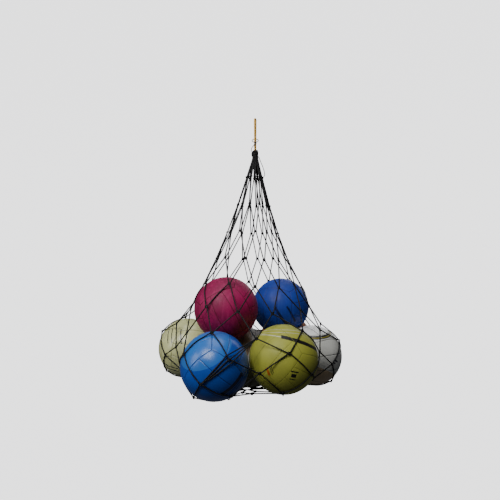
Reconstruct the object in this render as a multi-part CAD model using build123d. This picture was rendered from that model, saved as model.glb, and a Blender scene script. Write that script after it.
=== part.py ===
from build123d import *
import math
import os

import numpy as np

# A knotted net bag of balls, hung by its drawcord. Millimetres, +Z up, +X to the right,
# origin at the centre of the drawcord's top bight, where the hook's bar goes.

# Net
TWINE_D = 3.5
KNOT_D = 9.5
BAR = 107.0  # twine from knot to knot
MESHES_ROUND = 12
ROWS = 13  # rows of twine from the gathered mouth to the gathered base
SIDE_ROWS = 8  # the rows above this one are the side netting, the rest is the base netting
FIRST_BAR = 73.0  # what shows of a bar in the first row, whose top is drawn into the neck
NET_TURN_DEG = -8.5  # how far the whole net is turned about +Z
PRELOAD = 0.95  # relaxed share of a bar's length, so that the loaded net is taut
TWINE_PAIR = 1.85  # each twine runs this far to its own side of a knot's middle

# Neck, where the mouth meshes are drawn together
NECK_Z = -131.0
NECK_R = 8.5
NECK_INNER_R = 7.0
NECK_OUTER_R = 11.0
GATHER_R = 14.0
GATHER_TOP_R = 13.0
GATHER_TOP_Z = -103.0
GATHER_BOTTOM_Z = -136.0
GATHER_BORE_R = 9.6
GATHER_BORE_FLOOR_Z = -121.0
TWINE_IN_GATHER = 5.0

# Base, where the last meshes are gathered on a ring of twine
BASE_RING_R = 15.0
BASE_RING_D = 4.0

# Drawcord, doubled over a hook bar
CORD_D = 5.0
BIGHT_R = 5.5
CORD_FOOT_SPREAD = 3.2
CORD_FOOT_Z = -117.0
CORD_PLANE_DEG = 63.0  # the two legs' plane, measured from +X

# Thin tie of twine round the drawcord
TIE_D = 2.0
TIE_R = 10.5
TIE_Z = -70.0
TIE_TILT_DEG = 45.0
TIE_KNOT_D = 4.5
TIE_KNOT_OUT = 1.2  # past the middle of the ring's twine, clear of the cord

# Balls: kind, diameter, centre, direction of the valve
BALLS = {
    "front_left": ("volleyball", 208.0, (-125, -236, -803), (-0.4, 0.3, -0.9)),
    "front_right": ("basketball", 215.0, (86, -187, -793), (0.3, 0.5, -0.8)),
    "left": ("volleyball", 209.0, (-242, 52, -805), (-0.3, 0.9, 0.2)),
    "right": ("volleyball", 205.0, (197, -9, -817), (0.6, 0.8, 0.1)),
    "centre": ("volleyball", 205.0, (-27, 6, -830), (0.1, 0.2, 1.0)),
    "upper_left": ("light playground", 210.0, (-97, -98, -647), (-0.2, 0.9, 0.5)),
    "upper_right": ("light playground", 203.0, (94, 63, -660), (0.2, 0.9, 0.4)),
    "back_left": ("light playground", 209.0, (-100, 207, -807), (-0.2, 0.9, 0.4)),
    "back_right": ("playground", 207.0, (122, 197, -809), (0.2, 0.9, 0.4)),
}
# Wall thicknesses of each kind: cover, then bladder (none where the ball is one rubber wall)
WALLS = {
    "volleyball": (1.5, 0.6),
    "basketball": (2.0, 0.7),
    "light playground": (2.2, 0.0),
    "playground": (2.7, 0.0),
}
BALL_GAP = 0.8
VALVE_R = 5.0
VALVE_LENGTH = 12.0
VALVE_RECESS = 0.4
NEEDLE_R = 1.0

# How the net is settled on the balls
PIECES = 4  # straight runs per bar
TWINE_STANDOFF = 3.05  # a run's ends stand this far off a ball, so that its middle clears it
KNOT_STANDOFF = 5.3
STEPS = 9000
SLACK_STIFFNESS = 0.02
MOMENTUM = 0.97
STEP_SHARE = 0.35
STRAIGHT_DEG = 1.0  # a corner below this is left out of a run


def settled_balls():
    """The balls' radii and centres, pushed apart until none overlaps another."""
    radii = np.array([ball[1] / 2 for ball in BALLS.values()])
    centres = np.array([ball[2] for ball in BALLS.values()], dtype=float)
    for _ in range(400):
        for a in range(len(radii)):
            for b in range(a + 1, len(radii)):
                apart = centres[b] - centres[a]
                distance = np.linalg.norm(apart)
                short = radii[a] + radii[b] + BALL_GAP - distance
                if short > 0:
                    centres[a] -= apart / distance * short / 2
                    centres[b] += apart / distance * short / 2
    return radii, np.round(centres, 2)


def turn_of(row, column):
    """Angle round the bag of a knot, with every second row shifted by half a mesh."""
    return math.radians(NET_TURN_DEG) + 2 * math.pi * (column + 0.5 * (row % 2)) / MESHES_ROUND


def loose_net(centres):
    """Knots and bars of the net laid out wide, as points and chains of point numbers."""
    middle = centres.mean(axis=0)
    low = centres[:, 2].min()
    outline = np.array(
        [
            (NECK_R, NECK_Z),
            (150, NECK_Z + 0.45 * (low - NECK_Z)),
            (330, low + 110),
            (380, low - 20),
            (300, low - 130),
            (BASE_RING_R, low - 150),
        ]
    )
    along = np.concatenate([[0], np.cumsum(np.linalg.norm(np.diff(outline, axis=0), axis=1))])
    points = []
    for row in range(ROWS + 1):
        share = row / ROWS
        radius = np.interp(share * along[-1], along, outline[:, 0])
        height = np.interp(share * along[-1], along, outline[:, 1])
        for column in range(MESHES_ROUND):
            angle = turn_of(row, column)
            x = radius * math.cos(angle) + middle[0] * share
            y = radius * math.sin(angle) + middle[1] * share
            points.append((x, y, height))
    bars = []
    for row in range(ROWS):
        for column in range(MESHES_ROUND):
            other = (column + (1 if row % 2 else -1)) % MESHES_ROUND
            for below, side in ((column, 1 if row % 2 == 0 else -1), (other, -1 if row % 2 == 0 else 1)):
                start = row * MESHES_ROUND + column
                end = (row + 1) * MESHES_ROUND + below
                chain = [start]
                for piece in range(1, PIECES):
                    share = piece / PIECES
                    upper = np.array(points[start])
                    lower = np.array(points[end])
                    points.append(tuple(upper * (1 - share) + lower * share))
                    chain.append(len(points) - 1)
                bars.append((row, side, chain + [end]))
    return np.array(points), bars


def settled_net(radii, centres):
    """The net pulled taut between its neck and its base ring, outside every ball."""
    points, bars = loose_net(centres)
    starts = np.array([chain[k] for _, _, chain in bars for k in range(PIECES)])
    ends = np.array([chain[k + 1] for _, _, chain in bars for k in range(PIECES)])
    count = len(points)
    knots = (ROWS + 1) * MESHES_ROUND
    share = STEP_SHARE / np.bincount(np.concatenate([starts, ends]), minlength=count)
    standoff = np.where(np.arange(count) < knots, KNOT_STANDOFF, TWINE_STANDOFF)
    whole = np.array([BAR if row else FIRST_BAR for row, _, _ in bars for _ in range(PIECES)])
    relaxed = whole * PRELOAD / PIECES
    neck = np.arange(MESHES_ROUND)
    base = np.arange(knots - MESHES_ROUND, knots)
    angles = np.array([turn_of(ROWS, column) for column in range(MESHES_ROUND)])
    ring = BASE_RING_R * np.stack([np.cos(angles), np.sin(angles), 0 * angles], axis=1)
    speed = np.zeros_like(points)
    for _ in range(STEPS):
        runs = points[ends] - points[starts]
        lengths = np.maximum(np.linalg.norm(runs, axis=1), 1e-9)
        over = lengths - relaxed
        pull = runs * (np.where(over > 0, over, SLACK_STIFFNESS * over) / lengths)[:, None]
        drawn = [np.bincount(starts, pull[:, k], minlength=count) for k in range(3)]
        held = [np.bincount(ends, pull[:, k], minlength=count) for k in range(3)]
        force = np.stack(drawn, axis=1) - np.stack(held, axis=1)
        speed = MOMENTUM * speed + force * share[:, None]
        speed[neck] = 0
        points = points + speed
        points[base] = points[base].mean(axis=0) + ring
        speed[base] = speed[base].mean(axis=0)
        for radius, centre in zip(radii, centres):
            away = points - centre
            distance = np.linalg.norm(away, axis=1)
            inside = distance < radius + standoff
            out = away[inside] / distance[inside][:, None]
            points[inside] += out * (radius + standoff - distance)[inside][:, None]
            speed[inside] -= out * np.minimum((speed[inside] * out).sum(axis=1), 0)[:, None]
    return np.round(points, 2), bars


def side_of_knot(points, row, column):
    """Unit vector round the bag at a knot, towards the next knot of its row."""
    first = row * MESHES_ROUND
    after = points[first + (column + 1) % MESHES_ROUND]
    before = points[first + (column - 1) % MESHES_ROUND]
    return (after - before) / np.linalg.norm(after - before)


def bar_route(points, row, side, chain):
    """Points of one bar, each end moved to the bar's own side of its knot."""
    route = points[chain].copy()
    if row == 0:
        angle = turn_of(0, chain[0])
        radius = NECK_INNER_R if side > 0 else NECK_OUTER_R
        route[0] = (radius * math.cos(angle), radius * math.sin(angle), GATHER_BOTTOM_Z + TWINE_IN_GATHER)
    else:
        route[0] += side * TWINE_PAIR * side_of_knot(points, row, chain[0] % MESHES_ROUND)
    route[-1] -= side * TWINE_PAIR * side_of_knot(points, row + 1, chain[-1] % MESHES_ROUND)
    return route


def corner_deg(before, corner, after):
    """How far a route turns at a corner."""
    a = (corner - before) / np.linalg.norm(corner - before)
    b = (after - corner) / np.linalg.norm(after - corner)
    return math.degrees(math.acos(min(1.0, float(a @ b))))


def without_straight_corners(route):
    """A route without the corners that hardly turn."""
    kept = [route[0]]
    for k in range(1, len(route) - 1):
        if corner_deg(kept[-1], route[k], route[k + 1]) > STRAIGHT_DEG:
            kept.append(route[k])
    return kept + [route[-1]]


def corner_radii(route):
    """The largest tangent arc that each corner's two runs allow."""
    radii = []
    for k in range(1, len(route) - 1):
        before = np.linalg.norm(route[k] - route[k - 1])
        after = np.linalg.norm(route[k + 1] - route[k])
        shorter = min(before, after)
        half_turn = math.radians(corner_deg(route[k - 1], route[k], route[k + 1])) / 2
        radii.append(0.45 * shorter / math.tan(half_turn))
    return radii


def tube(route, diameter):
    """A round tube of straight runs and tangent arcs."""
    route = without_straight_corners(route)
    corners = [Vector(*point) for point in route]
    start = Plane(origin=corners[0], z_dir=corners[1] - corners[0])
    if len(corners) == 2:
        return Solid.make_cylinder(diameter / 2, (corners[1] - corners[0]).length, start)
    path = FilletPolyline(*corners, radius=corner_radii(route))
    return sweep(start * Circle(diameter / 2), path=path).solid()


def netting(points, bars, rows):
    """The twine of the given rows, one solid for each bar."""
    return [
        tube(bar_route(points, row, side, chain), TWINE_D)
        for row, side, chain in bars
        if row in rows
    ]


def mesh_knots(points):
    """A knot at every crossing between the neck and the base ring."""
    crossings = points[MESHES_ROUND : ROWS * MESHES_ROUND]
    return [Pos(*point) * Sphere(KNOT_D / 2) for point in crossings]


def neck_gather():
    """The mouth meshes drawn together in one bundle, with a funnel that the drawcord enters."""
    with BuildPart() as gather:
        with BuildSketch(Plane.XZ):
            with BuildLine():
                Polyline(
                    (0, GATHER_BORE_FLOOR_Z),
                    (GATHER_BORE_R, GATHER_BORE_FLOOR_Z),
                    (GATHER_BORE_R, GATHER_TOP_Z - 1),
                    (GATHER_TOP_R - 1, GATHER_TOP_Z),
                    (GATHER_TOP_R, GATHER_TOP_Z - 2),
                    (GATHER_R, GATHER_TOP_Z - 8),
                    (GATHER_R, GATHER_BOTTOM_Z + 4),
                    (GATHER_R - 1, GATHER_BOTTOM_Z),
                    (0, GATHER_BOTTOM_Z),
                    close=True,
                )
            make_face()
        revolve(axis=Axis.Z)
    return [gather.part]


def base_ring(points):
    """The ring of twine that gathers the last meshes under the balls."""
    centre = points[ROWS * MESHES_ROUND : (ROWS + 1) * MESHES_ROUND].mean(axis=0)
    return [Pos(*centre) * Torus(BASE_RING_R, BASE_RING_D / 2)]


def drawcord():
    """The doubled cord: up one leg, over the hook bar and down the other leg."""
    angle = math.radians(CORD_PLANE_DEG)
    across = Vector(math.cos(angle), math.sin(angle), 0)
    foot = across * CORD_FOOT_SPREAD + Vector(0, 0, CORD_FOOT_Z)
    other_foot = across * -CORD_FOOT_SPREAD + Vector(0, 0, CORD_FOOT_Z)
    with BuildLine() as line:
        Line(foot, across * BIGHT_R)
        ThreePointArc(across * BIGHT_R, Vector(0, 0, BIGHT_R), across * -BIGHT_R)
        Line(across * -BIGHT_R, other_foot)
    start = Plane(origin=foot, z_dir=across * BIGHT_R - foot)
    cord = sweep(start * Circle(CORD_D / 2), path=line.wire())
    length = line.wire().length
    expected = math.pi * CORD_D**2 / 4 * length
    print(f"drawcord: {length:.1f} mm, volume {cord.volume:.0f} against {expected:.0f}")
    return [cord.solid()]


def tie_loop():
    """A thin ring of twine round the drawcord with its knot at the low front."""
    place = Pos(0, 0, TIE_Z) * Rot(90 - TIE_TILT_DEG, 0, 0)
    ring = place * Torus(TIE_R, TIE_D / 2)
    knot = place * Pos(0, -TIE_R - TIE_KNOT_OUT, 0) * Sphere(TIE_KNOT_D / 2)
    return [ring, knot]


def ball(kind, radius, centre, valve_way):
    """Cover, bladder and valve of one ball."""
    cover_wall, bladder_wall = WALLS[kind]
    plug = Plane(origin=(0, 0, 0), z_dir=valve_way)
    bottom = radius - VALVE_LENGTH
    seat = plug * Pos(0, 0, bottom)
    upright = (Align.CENTER, Align.CENTER, Align.MIN)
    hole = seat * Cylinder(VALVE_R, 2 * VALVE_LENGTH, align=upright)
    plain_valve = Cylinder(VALVE_R, VALVE_LENGTH - VALVE_RECESS, align=upright)
    valve = seat * (plain_valve - Cylinder(NEEDLE_R, 3 * VALVE_LENGTH))
    pieces = {"cover": Sphere(radius) - Sphere(radius - cover_wall) - hole, "valve": valve}
    if bladder_wall:
        outer = radius - cover_wall
        pieces["bladder"] = Sphere(outer) - Sphere(outer - bladder_wall) - hole
    return {name: [(Pos(*centre) * piece).solid()] for name, piece in pieces.items()}


def write(name, solids):
    """One STEP file for one sub-part."""
    shape = Compound(children=solids) if len(solids) > 1 else solids[0]
    shape.label = name
    export_step(shape, f"parts/{name}.step")


def main():
    os.makedirs("parts", exist_ok=True)
    radii, centres = settled_balls()
    points, bars = settled_net(radii, centres)
    write("side_netting", netting(points, bars, range(SIDE_ROWS)))
    write("base_netting", netting(points, bars, range(SIDE_ROWS, ROWS)))
    write("mesh_knots", mesh_knots(points))
    write("neck_gather", neck_gather())
    write("base_ring", base_ring(points))
    write("drawcord", drawcord())
    write("tie_loop", tie_loop())
    for (name, (kind, _, _, valve_way)), radius, centre in zip(BALLS.items(), radii, centres):
        for piece, solids in ball(kind, radius, centre, valve_way).items():
            write(f"{name}_ball_{piece}", solids)


main()
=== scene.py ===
import math

import bpy
import numpy as np
from mathutils import Matrix, Vector


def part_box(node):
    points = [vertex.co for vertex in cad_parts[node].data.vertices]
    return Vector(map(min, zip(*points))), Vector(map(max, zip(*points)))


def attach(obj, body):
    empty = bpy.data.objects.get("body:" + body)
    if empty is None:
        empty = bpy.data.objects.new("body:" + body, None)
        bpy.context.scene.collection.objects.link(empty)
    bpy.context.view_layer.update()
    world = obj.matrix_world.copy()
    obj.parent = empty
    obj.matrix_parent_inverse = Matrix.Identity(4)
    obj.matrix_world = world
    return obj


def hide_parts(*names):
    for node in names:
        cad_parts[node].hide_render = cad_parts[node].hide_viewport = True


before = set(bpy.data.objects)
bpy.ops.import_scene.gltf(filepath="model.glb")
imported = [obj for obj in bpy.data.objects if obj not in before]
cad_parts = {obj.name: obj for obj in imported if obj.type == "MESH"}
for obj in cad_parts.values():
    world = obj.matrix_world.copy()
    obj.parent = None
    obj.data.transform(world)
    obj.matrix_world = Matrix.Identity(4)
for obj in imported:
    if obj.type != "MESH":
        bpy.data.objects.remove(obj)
bpy.context.view_layer.update()

# Everything is in metres and in the row frame: +Z up, the hook's bar at the origin.
MM = 0.001
MESHES_ROUND = 12
ROWS = 13
SIDE_ROWS = 8
NET_TURN_DEG = -8.5
TWINE_D = 4.0 * MM
TWINE_PAIR = 1.85 * MM  # each twine passes this far to its own side of a knot's middle
TWINE_CLEAR = 0.3 * MM  # between a twine and a ball
KNOT_D = 12.3 * MM
TWINE_PIECES = 12
NECK_INNER_R = 5.6 * MM
NECK_OUTER_R = 8.8 * MM
BASE_RING_R = 15.0 * MM
CORD_D = 5.0 * MM
BIGHT_R = 5.5 * MM  # from the hook bar to the middle of the cord over it
CORD_FOOT_SPREAD = 3.2 * MM
CORD_FOOT_Z = -117.0 * MM
CORD_PLANE_DEG = 63.0
CORD_BRAID_PITCH = 5.0 * MM
BRAID_STRANDS = 4  # pairs of strands round a braid
TIE_TWINE_R = 1.35 * MM
TIE_TILT_DEG = 45.0
LOOSE_END_R = 1.4 * MM

CAMERA_PLACE = (-0.0182, -1.702, -0.453)
CAMERA_LENS = 35.0

BALLS = [
    "front_left",
    "front_right",
    "left",
    "right",
    "centre",
    "upper_left",
    "upper_right",
    "back_left",
    "back_right",
]


# ---------------------------------------------------------------- mesh helpers


def unit(vectors):
    """Vectors scaled to length one."""
    return vectors / np.linalg.norm(vectors, axis=-1, keepdims=True)


def mesh_object(name, points, faces, uvs=None, values=None):
    """A smooth mesh object, with UVs per point and named per-point values if they are given."""
    mesh = bpy.data.meshes.new(name)
    mesh.from_pydata([tuple(p) for p in points], [], [tuple(int(i) for i in f) for f in faces])
    mesh.polygons.foreach_set("use_smooth", [True] * len(mesh.polygons))
    if uvs is not None:
        corners = np.empty(len(mesh.loops), dtype=int)
        mesh.loops.foreach_get("vertex_index", corners)
        layer = mesh.uv_layers.new(name="UVMap")
        layer.data.foreach_set("uv", np.asarray(uvs)[corners].ravel())
    for key, amounts in (values or {}).items():
        mesh.attributes.new(key, "FLOAT", "POINT").data.foreach_set("value", amounts)
    mesh.update()
    piece = bpy.data.objects.new(name, mesh)
    bpy.context.scene.collection.objects.link(piece)
    return piece


def ring_frames(path):
    """Tangent and two cross directions at each point of a path, with no twist of their own."""
    tangents = unit(np.gradient(path, axis=0))
    side = np.cross(tangents[0], (0.0, 0.0, 1.0))
    if np.linalg.norm(side) < 1e-3:
        side = np.cross(tangents[0], (1.0, 0.0, 0.0))
    sides = []
    for tangent in tangents:
        side = side - tangent * (side @ tangent)
        side = side / np.linalg.norm(side)
        sides.append(side)
    sides = np.array(sides)
    return tangents, sides, np.cross(tangents, sides)


def tube(path, radius, sides=8, relief=None, closed=False):
    """Points, faces and UVs of a tube round a path. relief(angle, length) adds to its radius.

    The UVs run once round the tube, and along it in metres."""
    path = np.asarray(path, dtype=float)
    if closed:
        path = np.vstack([path, path[:1]])
    _, across, up = ring_frames(path)
    if closed:
        across[-1], up[-1] = across[0], up[0]
    along = np.concatenate([[0], np.cumsum(np.linalg.norm(np.diff(path, axis=0), axis=1))])
    angles = np.linspace(0, 2 * math.pi, sides + 1)
    grid_a, grid_l = np.meshgrid(angles, along)
    size = radius + (relief(grid_a, grid_l) if relief else 0 * grid_a)
    points = (
        path[:, None]
        + (size * np.cos(grid_a))[..., None] * across[:, None]
        + (size * np.sin(grid_a))[..., None] * up[:, None]
    )
    uvs = np.stack([grid_a / (2 * math.pi), grid_l], axis=-1)
    wide = sides + 1
    faces = [
        (r * wide + s, r * wide + s + 1, (r + 1) * wide + s + 1, (r + 1) * wide + s)
        for r in range(len(path) - 1)
        for s in range(sides)
    ]
    points, uvs = points.reshape(-1, 3), uvs.reshape(-1, 2)
    if not closed:
        for first, centre, order in ((0, path[0], 1), ((len(path) - 1) * wide, path[-1], -1)):
            points = np.vstack([points, centre])
            uvs = np.vstack([uvs, uvs[first]])
            hub = len(points) - 1
            faces += [(hub, first + s + 1, first + s)[::order] for s in range(sides)]
    return points, faces, uvs


def joined(parts):
    """Several (points, faces, uvs) as one."""
    points, faces, uvs, start = [], [], [], 0
    for p, f, u in parts:
        points.append(p)
        uvs.append(u)
        faces += [tuple(i + start for i in face) for face in f]
        start += len(p)
    return np.vstack(points), faces, np.vstack(uvs)


def weld(piece, distance=0.01 * MM):
    """Joins points of a piece that lie together."""
    modifier = piece.modifiers.new("weld", "WELD")
    modifier.merge_threshold = distance
    bpy.context.view_layer.objects.active = piece
    with bpy.context.temp_override(object=piece, active_object=piece):
        bpy.ops.object.modifier_apply(modifier=modifier.name)
    return piece


def read_nurbs(route, order=3, steps=16):
    """Points along the smooth NURBS line of a route's control points."""
    curve = bpy.data.curves.new("route", "CURVE")
    curve.dimensions = "3D"
    spline = curve.splines.new("NURBS")
    spline.points.add(len(route) - 1)
    for point, place in zip(spline.points, route):
        point.co = (*place, 1.0)
    spline.order_u = order
    spline.use_endpoint_u = True
    spline.resolution_u = steps
    carrier = bpy.data.objects.new("route", curve)
    bpy.context.scene.collection.objects.link(carrier)
    bpy.context.view_layer.update()
    line = bpy.data.meshes.new_from_object(carrier.evaluated_get(bpy.context.evaluated_depsgraph_get()))
    points = np.array([vertex.co for vertex in line.vertices])
    bpy.data.objects.remove(carrier)
    bpy.data.curves.remove(curve)
    bpy.data.meshes.remove(line)
    return points


# ---------------------------------------------------------------- materials


class Shader:
    """A material's node tree, with one short call per node."""

    def __init__(self, name, colour, roughness):
        self.material = bpy.data.materials.new(name)
        self.material.use_nodes = True
        self.nodes = self.material.node_tree.nodes
        self.links = self.material.node_tree.links
        self.surface = self.nodes["Principled BSDF"]
        self.surface.inputs["Base Color"].default_value = (*colour, 1.0)
        self.surface.inputs["Roughness"].default_value = roughness

    def add(self, kind, settings=None, **inputs):
        node = self.nodes.new(kind)
        for key, value in (settings or {}).items():
            setattr(node, key, value)
        for key, value in inputs.items():
            socket = node.inputs[int(key[1:])] if key[1:].isdigit() else node.inputs[key.replace("_", " ")]
            self.put(value, socket)
        return node

    def put(self, value, socket):
        if isinstance(value, bpy.types.NodeSocket):
            self.links.new(value, socket)
        else:
            socket.default_value = value

    def math(self, operation, first, second=0.0):
        return self.add("ShaderNodeMath", {"operation": operation}, _0=first, _1=second).outputs[0]

    def mix(self, share, first, second):
        node = self.add("ShaderNodeMix", {"data_type": "RGBA"}, _0=share, _6=first, _7=second)
        return node.outputs[2]

    def ramp(self, value, low, high, out_low=0.0, out_high=1.0):
        node = self.add("ShaderNodeMapRange", {"interpolation_type": "SMOOTHSTEP"})
        for index, amount in enumerate((value, low, high, out_low, out_high)):
            self.put(amount, node.inputs[index])
        return node.outputs[0]

    def coordinates(self, kind="Object"):
        return self.add("ShaderNodeTexCoord").outputs[kind]

    def value(self, key):
        return self.add("ShaderNodeAttribute", {"attribute_name": key}).outputs["Fac"]

    def noise(self, scale, detail=3.0, roughness=0.5, where=None):
        node = self.add("ShaderNodeTexNoise", Scale=scale, Detail=detail, Roughness=roughness)
        self.links.new(where or self.coordinates(), node.inputs["Vector"])
        return node.outputs["Fac"]

    def cells(self, scale):
        node = self.add("ShaderNodeTexVoronoi", Scale=scale)
        self.links.new(self.coordinates(), node.inputs["Vector"])
        return node.outputs["Distance"]

    def band(self, axis, low, high, soft=0.004):
        """One inside the band of a ball where its direction's share along axis is from low to high."""
        place = self.add("ShaderNodeVectorMath", {"operation": "NORMALIZE"}, _0=self.coordinates()).outputs[0]
        line = self.add("ShaderNodeVectorMath", {"operation": "DOT_PRODUCT"}, _0=place)
        line.inputs[1].default_value = Vector(axis).normalized()
        along = line.outputs["Value"]
        inside = self.ramp(along, low - soft, low + soft)
        outside = self.ramp(along, high - soft, high + soft, 1.0, 0.0)
        return self.math("MULTIPLY", inside, outside)

    def bar(self, centre, along, right, up):
        """One inside a bar printed on a ball round the direction centre, with its length near along.

        right and up are the low and high ends of its length and its height, as shares of the radius."""
        centre = Vector(centre).normalized()
        length = (Vector(along) - centre * Vector(along).dot(centre)).normalized()
        facing = self.band(centre, 0.0, 1.1)
        across = self.band(length, *right, soft=0.003)
        tall = self.band(centre.cross(length), *up, soft=0.003)
        return self.math("MULTIPLY", facing, self.math("MULTIPLY", across, tall))

    def colour(self, value):
        self.put(value, self.surface.inputs["Base Color"])

    def bump(self, height, distance, strength=1.0, after=None):
        node = self.add("ShaderNodeBump", Height=height, Distance=distance, Strength=strength)
        if after is not None:
            self.links.new(after, node.inputs["Normal"])
        self.links.new(node.outputs[0], self.surface.inputs["Normal"])
        return node.outputs[0]


def darker(colour, share):
    return (*(c * share for c in colour), 1.0)


def twine_material(name, colour, strands_per_metre):
    """Braided polyester twine: a diamond relief along the line with painted shade in its hollows, dusty on
    top, slightly shiny.
    """
    shader = Shader(name, colour, 0.55)
    place = shader.add("ShaderNodeSeparateXYZ", _0=shader.coordinates("UV"))
    turn = shader.math("MULTIPLY", place.outputs[0], BRAID_STRANDS * 2 * math.pi)
    run = shader.math("MULTIPLY", place.outputs[1], strands_per_metre * 2 * math.pi)
    one = shader.math("SINE", shader.math("ADD", turn, run))
    other = shader.math("SINE", shader.math("SUBTRACT", turn, run))
    weave = shader.math("MULTIPLY", one, other)
    fibre = shader.noise(900.0, 2.0, 0.6)
    dust = shader.noise(35.0, 3.0, 0.6)
    worn = shader.mix(shader.ramp(dust, 0.45, 0.75), (*colour, 1.0), darker(colour, 1.9))
    # painted shade: the hollows of the braid are darkened to a third of the twine's colour
    deep = shader.mix(shader.ramp(weave, -0.6, 0.2), darker(colour, 0.35), worn)
    shader.colour(deep)
    shader.put(shader.ramp(fibre, 0.3, 0.7, 0.5, 0.75), shader.surface.inputs["Roughness"])
    shader.surface.inputs["Specular IOR Level"].default_value = 0.3
    first = shader.bump(weave, 0.25 * MM, 0.8)
    shader.bump(fibre, 0.05 * MM, 0.5, first)
    return shader.material


BALL_LOOKS = {
    # colour, seam colour, roughness, coat, grain cells per metre, grain depth in mm, mottling
    "front_left": ((0.006, 0.065, 0.38), (0.002, 0.015, 0.11), 0.34, 0.35, 0.0, 0.0, 0.12),
    "front_right": ((0.33, 0.34, 0.045), (0.13, 0.135, 0.012), 0.50, 0.0, 900.0, 0.10, 0.12),
    "left": ((0.58, 0.59, 0.28), (0.20, 0.20, 0.09), 0.26, 0.6, 1400.0, 0.03, 0.14),
    "right": ((0.55, 0.55, 0.51), (0.16, 0.16, 0.15), 0.38, 0.25, 1400.0, 0.03, 0.12),
    "centre": ((0.48, 0.46, 0.43), (0.18, 0.17, 0.15), 0.40, 0.2, 1400.0, 0.03, 0.12),
    "upper_left": ((0.25, 0.002, 0.060), (0.08, 0.001, 0.012), 0.60, 0.0, 1100.0, 0.07, 0.30),
    "upper_right": ((0.014, 0.046, 0.34), (0.012, 0.015, 0.15), 0.52, 0.0, 1100.0, 0.06, 0.20),
    "back_left": ((0.025, 0.13, 0.05), (0.01, 0.05, 0.02), 0.60, 0.0, 1100.0, 0.07, 0.20),
    "back_right": ((0.40, 0.10, 0.02), (0.16, 0.03, 0.01), 0.60, 0.0, 1100.0, 0.07, 0.20),
}


# Colour of the fine pale streaks moulded into a rubber cover
STREAKED = {
    "upper_left": (0.36, 0.02, 0.11),
    "upper_right": (0.02, 0.07, 0.37),
    "back_left": (0.05, 0.19, 0.09),
    "back_right": (0.50, 0.16, 0.04),
}


def ball_material(name):
    """A ball's cover: its colour with faint mottling and scuffs, grain, and dirt down in the seams."""
    colour, seam_colour, roughness, coat, grain, depth, mottling = BALL_LOOKS[name]
    shader = Shader(f"{name}_cover", colour, roughness)
    shader.surface.inputs["Coat Weight"].default_value = coat
    shader.surface.inputs["Coat Roughness"].default_value = 0.22
    shader.surface.inputs["Specular IOR Level"].default_value = 0.30
    clouds = shader.noise(9.0, 4.0, 0.55)
    base = shader.mix(
        shader.ramp(clouds, 0.35, 0.70), darker(colour, 1.0 - mottling), darker(colour, 1.0 + mottling)
    )
    scuffs = shader.noise(60.0, 6.0, 0.75)
    base = shader.mix(shader.ramp(scuffs, 0.60, 0.80, 0.0, 0.35), base, darker(colour, 0.6))
    if name in STREAKED:
        stretched = shader.add("ShaderNodeMapping", Scale=(110.0, 110.0, 14.0), Vector=shader.coordinates())
        streaks = shader.noise(1.0, 4.0, 0.7, stretched.outputs[0])
        base = shader.mix(shader.ramp(streaks, 0.45, 0.72, 0.0, 0.55), base, (*STREAKED[name], 1.0))
    for share, ink in PRINTS.get(name, lambda _: [])(shader):
        base = shader.mix(share, base, ink)
    seam = shader.value("seam")
    shader.colour(shader.mix(seam, base, (*seam_colour, 1.0)))
    rough = shader.ramp(scuffs, 0.35, 0.75, roughness * 0.85, min(1.0, roughness * 1.3))
    shader.put(rough, shader.surface.inputs["Roughness"])
    if grain:
        shader.bump(shader.cells(grain), depth * MM, 0.6)
    return shader.material


def front_left_prints(shader):
    """A plain dark stripe with a thin line under it, and a painted highlight: a paler upper cap standing in
    for the lights' reflection.
    """
    ink = (0.002, 0.006, 0.04, 1.0)
    centre, along = (0.56, -0.74, -0.36), (0.83, 0.0, 0.55)
    # painted highlight: the paler cap on the upper front left stands in for the reflection of the lights in
    # the gloss
    pale = shader.math("MULTIPLY", shader.band((-0.35, -0.45, 0.82), 0.62, 1.1, 0.003), 0.35)
    return [
        (pale, (0.05, 0.26, 0.62, 1.0)),
        (shader.bar(centre, along, (-0.42, 0.42), (-0.07, 0.06)), ink),
        (shader.bar(centre, along, (-0.42, 0.42), (-0.13, -0.105)), ink),
    ]


def front_right_prints(shader):
    """A plain black band with a pale line beside it, two pale arcs and some small plain bars."""
    black = (0.005, 0.005, 0.005, 1.0)
    pale = (0.50, 0.50, 0.36, 1.0)
    orange = (0.42, 0.09, 0.01, 1.0)
    tilted = (0.254, 0.341, 0.905)
    reach = shader.band((0.92, -0.30, 0.25), 0.28, 1.1, 0.01)
    left_reach = shader.band((0.92, -0.30, 0.25), -0.45, 0.28, 0.01)
    label, label_way = (0.22, -0.93, -0.25), (0.95, 0.0, -0.3)
    side, side_way = (-0.45, -0.86, -0.14), (0.35, 0.0, -0.94)
    return [
        (shader.math("MULTIPLY", shader.band(tilted, 0.395, 0.50), reach), black),
        (shader.math("MULTIPLY", shader.band(tilted, 0.425, 0.45, 0.002), left_reach), pale),
        (shader.band((0.05, 0.30, 0.95), 0.655, 0.667, 0.002), pale),
        (shader.band((0.05, 0.30, 0.95), 0.745, 0.757, 0.002), pale),
        (shader.bar(label, label_way, (-0.13, 0.10), (0.10, 0.14)), black),
        (shader.bar(label, label_way, (-0.08, 0.06), (-0.04, 0.06)), black),
        (shader.bar(label, label_way, (-0.10, 0.08), (-0.12, -0.09)), black),
        (shader.bar(side, side_way, (-0.11, 0.11), (-0.06, 0.01)), orange),
        (shader.bar(side, side_way, (-0.14, 0.12), (0.06, 0.08)), black),
        (shader.bar(side, side_way, (-0.14, 0.08), (0.11, 0.13)), black),
    ]


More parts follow.
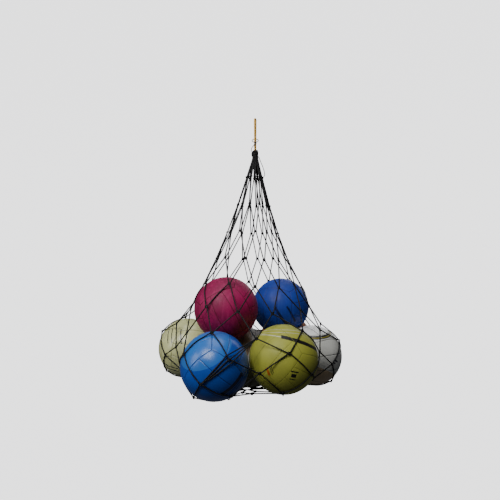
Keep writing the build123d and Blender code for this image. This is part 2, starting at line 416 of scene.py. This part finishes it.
def left_prints(shader):
    """Plain dark strokes near the top and low on the left."""
    ink = (0.012, 0.010, 0.035, 1.0)
    high, high_way = (-0.46, -0.72, 0.51), (0.35, 0.0, -0.94)
    low, low_way = (-0.52, -0.60, -0.60), (0.97, 0.0, 0.2)
    strokes = [
        (shader.bar(high, high_way, (-0.30 + 0.05 * k, 0.24 + 0.04 * k), (0.16 * k, 0.16 * k + 0.035)), ink)
        for k in range(-1, 3)
    ]
    strokes += [
        (shader.bar(low, low_way, (-0.30, 0.34), (0.13 * k, 0.13 * k + 0.045)), ink) for k in range(2)
    ]
    return strokes


def right_prints(shader):
    """A white top, a navy band with yellow in it, a fawn lower panel and two small bars."""
    up = (0.0, -0.15, 1.0)
    navy = (0.010, 0.010, 0.030, 1.0)
    yellow = (0.22, 0.19, 0.02, 1.0)
    fawn = (0.40, 0.30, 0.18, 1.0)
    label, label_way = (0.68, -0.73, -0.06), (0.9, 0.0, -0.4)
    return [
        (shader.band(up, 0.87, 1.1), (0.80, 0.80, 0.80, 1.0)),
        (shader.band(up, 0.765, 0.845), navy),
        (shader.band(up, 0.785, 0.812), yellow),
        (shader.band((-0.25, -0.35, -0.85), 0.50, 1.1, 0.01), fawn),
        (shader.bar(label, label_way, (-0.12, 0.10), (0.0, 0.05)), navy),
        (shader.bar(label, label_way, (-0.12, 0.02), (-0.09, -0.05)), navy),
    ]


def centre_prints(shader):
    """A fawn upper left side, dark greenish-brown painted shade on the underside, and one plain dark bar."""
    fawn = (0.26, 0.17, 0.10, 1.0)
    painted_shade_olive = (0.07, 0.068, 0.022, 1.0)
    black = (0.01, 0.01, 0.01, 1.0)
    label, label_way = (0.30, -0.90, 0.30), (0.95, 0.0, 0.2)
    return [
        (shader.band((-0.75, -0.45, 0.50), 0.55, 1.1, 0.01), fawn),
        # painted shade: the dark underside stands in for the shadow beneath the ball
        (shader.band((0.10, -0.35, -0.93), 0.45, 1.1, 0.02), painted_shade_olive),
        (shader.bar(label, label_way, (-0.12, 0.12), (0.0, 0.05)), black),
    ]


def upper_right_prints(shader):
    """Two plain dark bars running down to the right."""
    ink = (0.002, 0.008, 0.05, 1.0)
    way = (0.54, 0.0, -0.84)
    return [
        (shader.bar((0.0, -0.95, -0.31), way, (-0.46, 0.40), (-0.045, 0.045)), ink),
        (shader.bar((0.34, -0.92, -0.19), way, (-0.36, 0.30), (-0.04, 0.02)), ink),
    ]


PRINTS = {
    "front_left": front_left_prints,
    "front_right": front_right_prints,
    "left": left_prints,
    "right": right_prints,
    "centre": centre_prints,
    "upper_right": upper_right_prints,
}


# ---------------------------------------------------------------- balls

# Turns of each ball in degrees about X, Y and Z, and how wide and deep its seams are in mm
BALL_TURNS = {
    "front_left": ((20, 40, 15), 1.0, 0.7),
    "front_right": ((35, 20, 60), 0.7, 0.35),
    "left": ((0, 10, 20), 1.1, 1.0),
    "right": ((5, 0, 35), 1.1, 1.0),
    "centre": ((15, 30, 10), 1.1, 1.0),
    "upper_left": ((12, 62, 14), 1.2, 0.7),
    "upper_right": ((14, 90, -12), 1.2, 0.7),
    "back_left": ((10, 50, 30), 1.0, 0.6),
    "back_right": ((60, 10, 40), 1.0, 0.6),
}
PANEL_CUTS = (-1.0, -1.0 / 3.0, 1.0 / 3.0, 1.0)
SEAM_STEPS = (0.0, 0.6, 1.2, 1.9, 2.8, 4.2, 6.5)  # mm from a seam to the mesh lines beside it
COARSE_STEP = 8.0  # mm between the mesh lines on a panel
FACE_AXES = [
    ((1, 0, 0), (0, 1, 0), (0, 0, 1)),
    ((-1, 0, 0), (0, -1, 0), (0, 0, 1)),
    ((0, 1, 0), (0, 0, 1), (1, 0, 0)),
    ((0, -1, 0), (0, 0, -1), (1, 0, 0)),
    ((0, 0, 1), (1, 0, 0), (0, 1, 0)),
    ((0, 0, -1), (-1, 0, 0), (0, 1, 0)),
]


def face_lines(radius):
    """Mesh lines across one of six square faces of a ball, close together beside the seams."""
    face_mm = radius / MM * math.pi / 4
    lines = set()
    for low, high in zip(PANEL_CUTS, PANEL_CUTS[1:]):
        beside = [step / face_mm for step in SEAM_STEPS]
        middle = np.linspace(
            low + beside[-1], high - beside[-1], int((high - low) * face_mm / COARSE_STEP)
        )
        lines.update(np.round(middle, 6))
        lines.update(round(low + step, 6) for step in beside)
        lines.update(round(high - step, 6) for step in beside)
    return np.array(sorted(lines))


def ball_mesh(name, centre, radius):
    """An 18-panel ball: six faces of three strips, with grooves between the panels."""
    turn, seam_width, seam_depth = BALL_TURNS[name]
    lines = face_lines(radius)
    across, along = np.meshgrid(lines, lines, indexing="ij")
    count = len(lines)
    face_mm = radius / MM * math.pi / 4
    strips = np.min([np.abs(across - cut) for cut in PANEL_CUTS], axis=0)
    ends = 1 - np.abs(along)
    seam_mm = np.minimum(strips, ends) * face_mm
    groove = np.exp(-((seam_mm / seam_width) ** 2))
    puff = np.exp(-seam_mm / 6.0)
    size = radius - (groove * seam_depth + puff * 0.4 + 0.05) * MM
    points, faces, seam = [], [], []
    for number, (out, first, second) in enumerate(FACE_AXES):
        direction = (
            np.array(out, dtype=float)
            + np.tan(across * math.pi / 4)[..., None] * np.array(first)
            + np.tan(along * math.pi / 4)[..., None] * np.array(second)
        )
        points.append((unit(direction) * size[..., None]).reshape(-1, 3))
        seam.append(groove.ravel())
        start = number * count * count
        for i in range(count - 1):
            here = start + i * count
            after = here + count
            faces += [(here + j, after + j, after + j + 1, here + j + 1) for j in range(count - 1)]
    about_x, about_y, about_z = (
        Matrix.Rotation(math.radians(degrees), 3, axis) for degrees, axis in zip(turn, "XYZ")
    )
    turned = np.array(about_z @ about_y @ about_x)
    points = np.vstack(points) @ turned.T
    piece = mesh_object(f"{name}_ball", points, faces, values={"seam": np.concatenate(seam)})
    piece.location = centre
    return weld(piece)


def make_ball(name):
    low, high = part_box(f"{name}_ball_cover")
    centre, radius = (low + high) / 2, (high.z - low.z) / 2
    piece = ball_mesh(name, centre, radius)
    piece.data.materials.append(ball_material(name))
    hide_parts(f"{name}_ball_cover")
    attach(piece, f"{name}_ball")
    return np.array(centre), radius


def rubber_material():
    """Dark moulded rubber with a fine grain."""
    shader = Shader("moulded_rubber", (0.035, 0.035, 0.037), 0.6)
    grain = shader.noise(400.0, 4.0, 0.6)
    shader.colour(shader.mix(grain, (0.025, 0.025, 0.027, 1.0), (0.05, 0.05, 0.052, 1.0)))
    shader.bump(grain, 0.1 * MM, 0.5)
    return shader.material


def make_valve(name, centre, radius, rubber):
    """A rubber plug flush with the cover, with a rim and a ringed needle hole."""
    low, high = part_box(f"{name}_ball_valve")
    out = unit(np.array((low + high) / 2) - centre)
    plug = centre + out * np.linspace(radius - 11 * MM, radius + 0.05 * MM, 4)[:, None]
    side = unit(np.cross(out, (0.0, 0.3, 1.0)))
    basis = np.stack([side, np.cross(out, side), out])
    parts = [tube(plug, 4.6 * MM, sides=24)]
    for wide, thin, count in ((4.7, 0.25, 28), (1.5, 0.2, 16)):
        ring = ring_path(wide * MM, 0.0, count) @ basis + centre + out * (radius - 0.05 * MM)
        parts.append(tube(ring, thin * MM, sides=6, closed=True))
    piece = mesh_object(f"{name}_valve", *joined(parts))
    piece.data.materials.append(rubber)
    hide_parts(f"{name}_ball_valve")
    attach(piece, f"{name}_ball")


def dress_bladders(rubber):
    """The bladders stay as the CAD has them, inside the covers."""
    for name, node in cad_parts.items():
        if name.endswith("_bladder"):
            for place in node.material_slots:
                place.material = rubber


# ---------------------------------------------------------------- net


def read_knots():
    """The knots' places by row and column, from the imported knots: one closed shell each, in order."""
    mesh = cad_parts["mesh_knots"].data
    points = np.empty(len(mesh.vertices) * 3)
    mesh.vertices.foreach_get("co", points)
    points = points.reshape(-1, 3)
    edges = np.empty(len(mesh.edges) * 2, dtype=int)
    mesh.edges.foreach_get("vertices", edges)
    edges = edges.reshape(-1, 2)
    shell = np.arange(len(points))
    while True:
        lowest = np.minimum(shell[edges[:, 0]], shell[edges[:, 1]])
        step = shell.copy()
        np.minimum.at(step, edges[:, 0], lowest)
        np.minimum.at(step, edges[:, 1], lowest)
        step = step[step]
        if (step == shell).all():
            break
        shell = step
    centres = [
        (points[shell == first].min(axis=0) + points[shell == first].max(axis=0)) / 2
        for first in np.unique(shell)
    ]
    return np.array(centres).reshape(ROWS - 1, MESHES_ROUND, 3)


def turn_of(row, column):
    return math.radians(NET_TURN_DEG) + 2 * math.pi * (column + 0.5 * (row % 2)) / MESHES_ROUND


def round_place(radius, angle, height):
    return np.array([radius * math.cos(angle), radius * math.sin(angle), height])


class Net:
    """The net's knots, the ends of its bars, and the balls that it is pulled tight round."""

    def __init__(self, balls):
        self.knots = read_knots()
        self.centres = np.array([centre for centre, _ in balls])
        self.radii = np.array([radius for _, radius in balls])
        low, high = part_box("base_ring")
        self.base = np.array((low + high) / 2)
        self.neck_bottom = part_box("neck_gather")[0].z

    def knot(self, row, column):
        return self.knots[row - 1, column % MESHES_ROUND]

    def side(self, row, column):
        """The direction round the bag at a knot."""
        return unit(self.knot(row, column + 1) - self.knot(row, column - 1))

    def end(self, row, column, side):
        """Where a bar meets a knot, the neck or the base ring."""
        if row == 0:
            radius = NECK_INNER_R if side > 0 else NECK_OUTER_R
            return round_place(radius, turn_of(0, column), self.neck_bottom + 4 * MM)
        if row == ROWS:
            angle = turn_of(row, column)
            around = np.array([-math.sin(angle), math.cos(angle), 0.0])
            return self.base + round_place(BASE_RING_R, angle, 0.0) + around * side * TWINE_PAIR
        return self.knot(row, column) + self.side(row, column) * side * TWINE_PAIR

    def bars(self):
        """Row, and the two ends, of every bar."""
        for row in range(ROWS):
            for column in range(MESHES_ROUND):
                shifted = row % 2
                other = (column + (1 if shifted else -1)) % MESHES_ROUND
                side = -1 if shifted else 1
                yield row, self.end(row, column, side), self.end(row + 1, column, -side)
                yield row, self.end(row, column, -side), self.end(row + 1, other, side)

    def pulled_tight(self, starts, ends):
        """Lines from starts to ends, pulled tight round the balls."""
        share = np.linspace(0, 1, TWINE_PIECES + 1)[None, :, None]
        lines = starts[:, None] * (1 - share) + ends[:, None] * share
        clear = TWINE_D / 2 + TWINE_CLEAR
        for _ in range(400):
            lines[:, 1:-1] += 0.5 * ((lines[:, :-2] + lines[:, 2:]) / 2 - lines[:, 1:-1])
            for centre, radius in zip(self.centres, self.radii):
                away = lines - centre
                distance = np.linalg.norm(away, axis=2, keepdims=True)
                out = np.maximum(radius + clear - distance, 0)
                lines[:, 1:-1] += (away / distance * out)[:, 1:-1]
        return lines


def netting(net, rows, name, node, extra=()):
    """The bars of some rows of meshes, and any extra lines of twine, as one piece."""
    bars = [bar for bar in net.bars() if bar[0] in rows]
    lines = net.pulled_tight(np.array([b[1] for b in bars]), np.array([b[2] for b in bars]))
    parts = [tube(line, TWINE_D / 2) for line in [*lines, *extra]]
    piece = mesh_object(name, *joined(parts))
    piece.data.materials.append(TWINE)
    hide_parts(node)
    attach(piece, "net")


def mended_lines(net):
    """Two loose lines of twine tied in beside the bars over the front left ball."""
    lower, middle, upper = net.knot(9, 8), net.knot(8, 9), net.knot(7, 9)
    centre = net.centres[BALLS.index("front_left")]
    off = unit(np.cross(upper - lower, middle - centre))
    starts = np.array([lower, middle + 12 * MM * off, lower, middle - 13 * MM * off])
    ends = np.array([middle + 12 * MM * off, upper, middle - 13 * MM * off, upper])
    halves = net.pulled_tight(starts, ends)
    return [np.vstack([halves[k], halves[k + 1][1:]]) for k in (0, 2)]


def ring_path(radius, tilt, count=14):
    """A circle of points about Z, tilted about X."""
    angles = np.linspace(0, 2 * math.pi, count, endpoint=False)
    points = np.stack([radius * np.cos(angles), radius * np.sin(angles), 0 * angles], axis=1)
    turn = np.array(Matrix.Rotation(tilt, 3, "X"))
    return points @ turn.T


def knot_shape(size):
    """One netting knot: a core with two turns of twine crossed over it."""
    wrap = 0.19 * size
    turns = [
        tube(ring_path(0.5 * size - wrap, tilt), wrap, sides=7, closed=True)
        for tilt in (math.radians(58), math.radians(122))
    ]
    core = [(0, 0, z) for z in np.linspace(-0.36 * size, 0.36 * size, 6)]

    def bulge(_, along):
        return 0.27 * size * np.sin(np.clip(along / (0.72 * size), 0, 1) * math.pi)

    return joined([*turns, tube(core, 0.08 * size, sides=8, relief=bulge)])


def knots(net):
    shape = knot_shape(KNOT_D)
    flat = np.array([1.0, 0.76, 1.0])
    rng = np.random.default_rng(7)
    parts = []
    middle = net.centres.mean(axis=0)
    for row in range(1, ROWS):
        for column in range(MESHES_ROUND):
            place = net.knot(row, column)
            side = net.side(row, column)
            out = place - middle
            out[2] *= 0.4 if row < SIDE_ROWS else 1.0
            out = unit(out - side * (out @ side))
            down = np.cross(out, side)
            spin = rng.uniform(-0.35, 0.35)
            side_turned = side * math.cos(spin) + down * math.sin(spin)
            down_turned = np.cross(out, side_turned)
            basis = np.stack([side_turned, out, down_turned])
            grow = rng.uniform(0.92, 1.0)
            parts.append((shape[0] * flat * grow @ basis + place, shape[1], shape[2]))
    piece = mesh_object("mesh_knots_visual", *joined(parts))
    piece.data.materials.append(TWINE)
    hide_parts("mesh_knots")
    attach(piece, "net")


def neck_gather():
    """The mouth meshes folded over the drawcord, squeezed together and whipped with twine."""
    low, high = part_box("neck_gather")
    top, bottom = high.z, low.z
    strand = TWINE_D / 2
    rng = np.random.default_rng(11)
    parts = []
    for number in range(MESHES_ROUND):
        angle = 2 * math.pi * number / MESHES_ROUND + rng.uniform(-0.08, 0.08)
        lean = rng.uniform(-0.12, 0.12)
        crest = top - strand - rng.uniform(0.0, 6.0) * MM
        route = [
            round_place(9.6 * MM, angle, bottom + 1 * MM),
            round_place(9.0 * MM, angle, bottom + 4 * MM),
            round_place(7.6 * MM, angle, bottom + 9 * MM),
            round_place(7.6 * MM, angle, bottom + 19 * MM),
            round_place(9.4 * MM, angle + lean / 2, crest - 5 * MM),
            round_place(8.8 * MM, angle + lean, crest + 0.5 * MM),
            round_place(7.4 * MM, angle + lean, crest + 0.7 * MM),
            round_place(6.6 * MM, angle + lean, crest - 4 * MM),
            round_place(7.0 * MM, angle, top - 14 * MM),
        ]
        parts.append(tube(read_nurbs(route, 3, 5), strand, sides=8))
    for number in range(5):
        tilt = math.radians(rng.uniform(-4, 4))
        around = rng.uniform(9.2, 9.7) * MM
        turn = ring_path(around, tilt, 28) + (0, 0, bottom + (7.5 + 3.0 * number) * MM)
        parts.append(tube(turn, strand * 0.95, sides=8, closed=True))
    core = [(0, 0, z) for z in np.linspace(bottom, bottom + 14 * MM, 5)]
    parts.append(tube(core, 7.6 * MM, sides=16))
    piece = mesh_object("neck_gather_visual", *joined(parts))
    piece.data.materials.append(TWINE)
    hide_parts("neck_gather")
    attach(piece, "net")


def loose_ends(net):
    """Two thin ends of the gathering twine: one up the left of the neck, one slack on its right."""
    low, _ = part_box("neck_gather")
    right_knot = max((net.knot(1, column) for column in range(MESHES_ROUND)), key=lambda place: place[0])
    left = [
        (-6 * MM, -8.5 * MM, low.z + 5 * MM),
        (-10.5 * MM, -6.5 * MM, low.z + 8 * MM),
        (-12.6 * MM, -2.5 * MM, low.z + 15 * MM),
        (-12.2 * MM, -1.0 * MM, low.z + 23 * MM),
        (-9.5 * MM, -1.0 * MM, low.z + 28 * MM),
    ]
    right = [
        (7 * MM, -8 * MM, low.z + 10 * MM),
        (12 * MM, -7 * MM, low.z + 10 * MM),
        (18 * MM, -8 * MM, low.z - 8 * MM),
        (27 * MM, -8 * MM, low.z - 28 * MM),
        (33 * MM, -6 * MM, low.z - 48 * MM),
        (33 * MM, -3 * MM, low.z - 60 * MM),
        right_knot,
    ]
    parts = [tube(read_nurbs(route, 3, 8), LOOSE_END_R, sides=8) for route in (left, right)]
    piece = mesh_object("gathering_twine_ends", *joined(parts))
    piece.data.materials.append(GREY_TWINE)
    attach(piece, "net")


def base_ring(net):
    """The ring of twine under the load, laid from two twisted strands."""
    low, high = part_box("base_ring")
    thick = (high.z - low.z) / 2
    count = 72
    parts = []
    for start in (0.0, math.pi):
        angles = np.linspace(0, 2 * math.pi, count, endpoint=False)
        twist = 9 * angles + start
        radius = BASE_RING_R + 0.45 * thick * np.cos(twist)
        height = 0.45 * thick * np.sin(twist)
        path = np.stack([radius * np.cos(angles), radius * np.sin(angles), height], axis=1)
        parts.append(tube(path + net.base, 0.58 * thick, sides=7, closed=True))
    piece = mesh_object("base_ring_visual", *joined(parts))
    piece.data.materials.append(TWINE)
    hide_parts("base_ring")
    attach(piece, "net")


# ---------------------------------------------------------------- drawcord


def drawcord():
    """The golden braided cord: up one leg, over the hook and down the other."""
    angle = math.radians(CORD_PLANE_DEG)
    across = np.array([math.cos(angle), math.sin(angle), 0.0])
    up = np.array([0.0, 0.0, 1.0])
    foot = CORD_FOOT_SPREAD * across + CORD_FOOT_Z * up
    other_foot = -CORD_FOOT_SPREAD * across + CORD_FOOT_Z * up
    route = [
        foot,
        (foot + BIGHT_R * across) / 2,
        BIGHT_R * across - 3 * MM * up,
        1.08 * BIGHT_R * (across + 0.75 * up),
        1.30 * BIGHT_R * up,
        1.08 * BIGHT_R * (0.75 * up - across),
        -BIGHT_R * across - 3 * MM * up,
        (other_foot - BIGHT_R * across) / 2,
        other_foot,
    ]
    path = read_nurbs(route, 3, 40)
    steps = np.concatenate([[0], np.cumsum(np.linalg.norm(np.diff(path, axis=0), axis=1))])
    even = np.linspace(0, steps[-1], 420)
    path = np.stack([np.interp(even, steps, path[:, k]) for k in range(3)], axis=1)

    def braid(angle, along):
        wave = 2 * math.pi * along / CORD_BRAID_PITCH
        turn = BRAID_STRANDS * angle
        return 0.16 * MM * np.cos(turn + wave) * np.cos(turn - wave)

    piece = mesh_object("drawcord_visual", *tube(path, CORD_D / 2, sides=32, relief=braid))
    piece.data.materials.append(cord_material())
    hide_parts("drawcord")
    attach(piece, "cord")


def cord_material():
    """Golden braided cord, with painted shade in the lines between its strands and a few pale fibres."""
    gold = (0.88, 0.50, 0.07)
    shader = Shader("golden_cord", gold, 0.55)
    place = shader.add("ShaderNodeSeparateXYZ", _0=shader.coordinates("UV"))
    turn = shader.math("MULTIPLY", place.outputs[0], BRAID_STRANDS * 2 * math.pi)
    run = shader.math("MULTIPLY", place.outputs[1], 2 * math.pi / CORD_BRAID_PITCH)
    one = shader.math("COSINE", shader.math("ADD", turn, run))
    other = shader.math("COSINE", shader.math("SUBTRACT", turn, run))
    weave = shader.math("MULTIPLY", one, other)
    fibre = shader.noise(1500.0, 3.0, 0.7)
    # painted shade: the grooves between the braid's strands are darkened to 0.6 of the gold
    strands = shader.mix(shader.ramp(weave, -0.8, 0.0), darker(gold, 0.6), (*gold, 1.0))
    shader.colour(shader.mix(shader.ramp(fibre, 0.55, 0.75, 0.0, 0.5), strands, darker(gold, 1.3)))
    shader.surface.inputs["Sheen Weight"].default_value = 0.3
    shader.bump(fibre, 0.05 * MM, 0.6)
    return shader.material


def tie_loop():
    """A thin loop of twine round the drawcord, its knot, and its end hanging to the neck."""
    low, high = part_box("tie_loop")
    wide = (high.x - low.x) / 2 - 1 * MM
    deep = wide * math.cos(math.radians(TIE_TILT_DEG))
    middle = np.array([(low.x + high.x) / 2, 0.0, high.z - 1 * MM - deep])
    angles = np.linspace(0, 2 * math.pi, 48, endpoint=False)
    sag = 1 + 0.03 * np.sin(2 * angles + 0.6)
    loop = np.stack([wide * np.cos(angles), deep * np.sin(angles), deep * np.sin(angles)], axis=1)
    loop = loop * sag[:, None] + middle
    place = middle + (0.0, -deep - 0.9 * MM, -deep - 0.9 * MM)
    tail = read_nurbs(
        [
            place,
            place + (-1.5 * MM, -0.5 * MM, -4 * MM),
            place + (-5 * MM, -1.0 * MM, -10 * MM),
            (-11.0 * MM, -9.0 * MM, -0.095),
            (-13.5 * MM, -9.2 * MM, -0.102),
            (-13.6 * MM, -9.0 * MM, -0.110),
        ],
        3,
        8,
    )
    stub_route = [place, place + (2.5 * MM, -1 * MM, -1 * MM), place + (5 * MM, -1 * MM, -3.5 * MM)]
    stub = read_nurbs(stub_route, 3, 6)
    knot = knot_shape(5.5 * MM)
    parts = [
        tube(loop, TIE_TWINE_R, sides=8, closed=True),
        tube(tail, TIE_TWINE_R, sides=8),
        tube(stub, TIE_TWINE_R, sides=8),
        (knot[0] + place, knot[1], knot[2]),
    ]
    piece = mesh_object("tie_loop_visual", *joined(parts))
    piece.data.materials.append(GREY_TWINE)
    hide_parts("tie_loop")
    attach(piece, "cord")


# ---------------------------------------------------------------- stage


def backdrop():
    """A plain pale room round the bag: a floor that curves up into a wall, closed by a dome."""
    floor_z, reach, bend, sides = -4.0, 4.2, 1.2, 72
    profile = [(0.01, floor_z), (reach - bend, floor_z)]
    for step in range(1, 11):
        angle = math.pi / 2 * step / 10
        profile.append((reach - bend + bend * math.sin(angle), floor_z + bend - bend * math.cos(angle)))
    for step in range(1, 16):
        angle = math.pi / 2 * step / 16
        profile.append((reach * math.cos(angle), 1.0 + reach * math.sin(angle)))
    profile.append((0.01, 1.0 + reach))
    turns = [2 * math.pi * k / sides for k in range(sides)]
    points = [(r * math.cos(a), r * math.sin(a), z) for r, z in profile for a in turns]
    faces = [
        (i * sides + j, i * sides + (j + 1) % sides, (i + 1) * sides + (j + 1) % sides, (i + 1) * sides + j)
        for i in range(len(profile) - 1)
        for j in range(sides)
    ]
    piece = mesh_object("backdrop", points, faces)
    shader = Shader("pale_room", (0.80, 0.80, 0.81), 0.9)
    shader.surface.inputs["Emission Color"].default_value = (0.93, 0.93, 0.94, 1.0)
    shader.surface.inputs["Emission Strength"].default_value = 2.4
    piece.data.materials.append(shader.material)
    piece.visible_diffuse = False
    piece.visible_glossy = False
    piece.visible_shadow = False


def area_light(name, place, target, size, power):
    light = bpy.data.lights.new(name, "AREA")
    light.shape = "RECTANGLE"
    light.size, light.size_y = size
    light.energy = power
    lamp = bpy.data.objects.new(name, light)
    lamp.location = place
    lamp.rotation_euler = (Vector(target) - Vector(place)).to_track_quat("-Z", "Y").to_euler()
    bpy.context.scene.collection.objects.link(lamp)


def lights():
    middle = (0.0, 0.0, -0.7)
    area_light("key", (-0.8, -1.5, 0.9), middle, (1.3, 1.0), 44.0)
    area_light("top", (0.0, 0.0, 1.5), middle, (1.6, 1.6), 20.0)
    area_light("back", (0.9, 1.9, 0.3), middle, (1.6, 1.6), 13.0)
    area_light("window", (-1.9, -0.9, 0.0), middle, (0.7, 1.1), 12.0)
    world = bpy.data.worlds.new("studio")
    world.use_nodes = True
    world.node_tree.nodes["Background"].inputs[0].default_value = (0.9, 0.93, 1.0, 1.0)
    world.node_tree.nodes["Background"].inputs[1].default_value = 0.07
    bpy.context.scene.world = world


def camera():
    lens = bpy.data.cameras.new("camera")
    lens.lens = CAMERA_LENS
    lens.sensor_width = 36.0
    lens.clip_start = 0.01
    place = bpy.data.objects.new("camera", lens)
    place.location = CAMERA_PLACE
    place.rotation_euler = (math.radians(90), 0, 0)
    bpy.context.scene.collection.objects.link(place)
    bpy.context.scene.camera = place


camera()
TWINE = twine_material("black_twine", (0.006, 0.006, 0.0065), 260.0)
GREY_TWINE = twine_material("grey_twine", (0.025, 0.025, 0.023), 500.0)
drawcord()
tie_loop()
balls = [make_ball(name) for name in BALLS]
rubber = rubber_material()
for name, (centre, radius) in zip(BALLS, balls):
    make_valve(name, centre, radius, rubber)
dress_bladders(rubber)
net = Net(balls)
netting(net, range(SIDE_ROWS), "side_netting_visual", "side_netting", mended_lines(net))
netting(net, range(SIDE_ROWS, ROWS), "base_netting_visual", "base_netting")
knots(net)
neck_gather()
loose_ends(net)
base_ring(net)
backdrop()
lights()

bpy.context.view_layer.update()
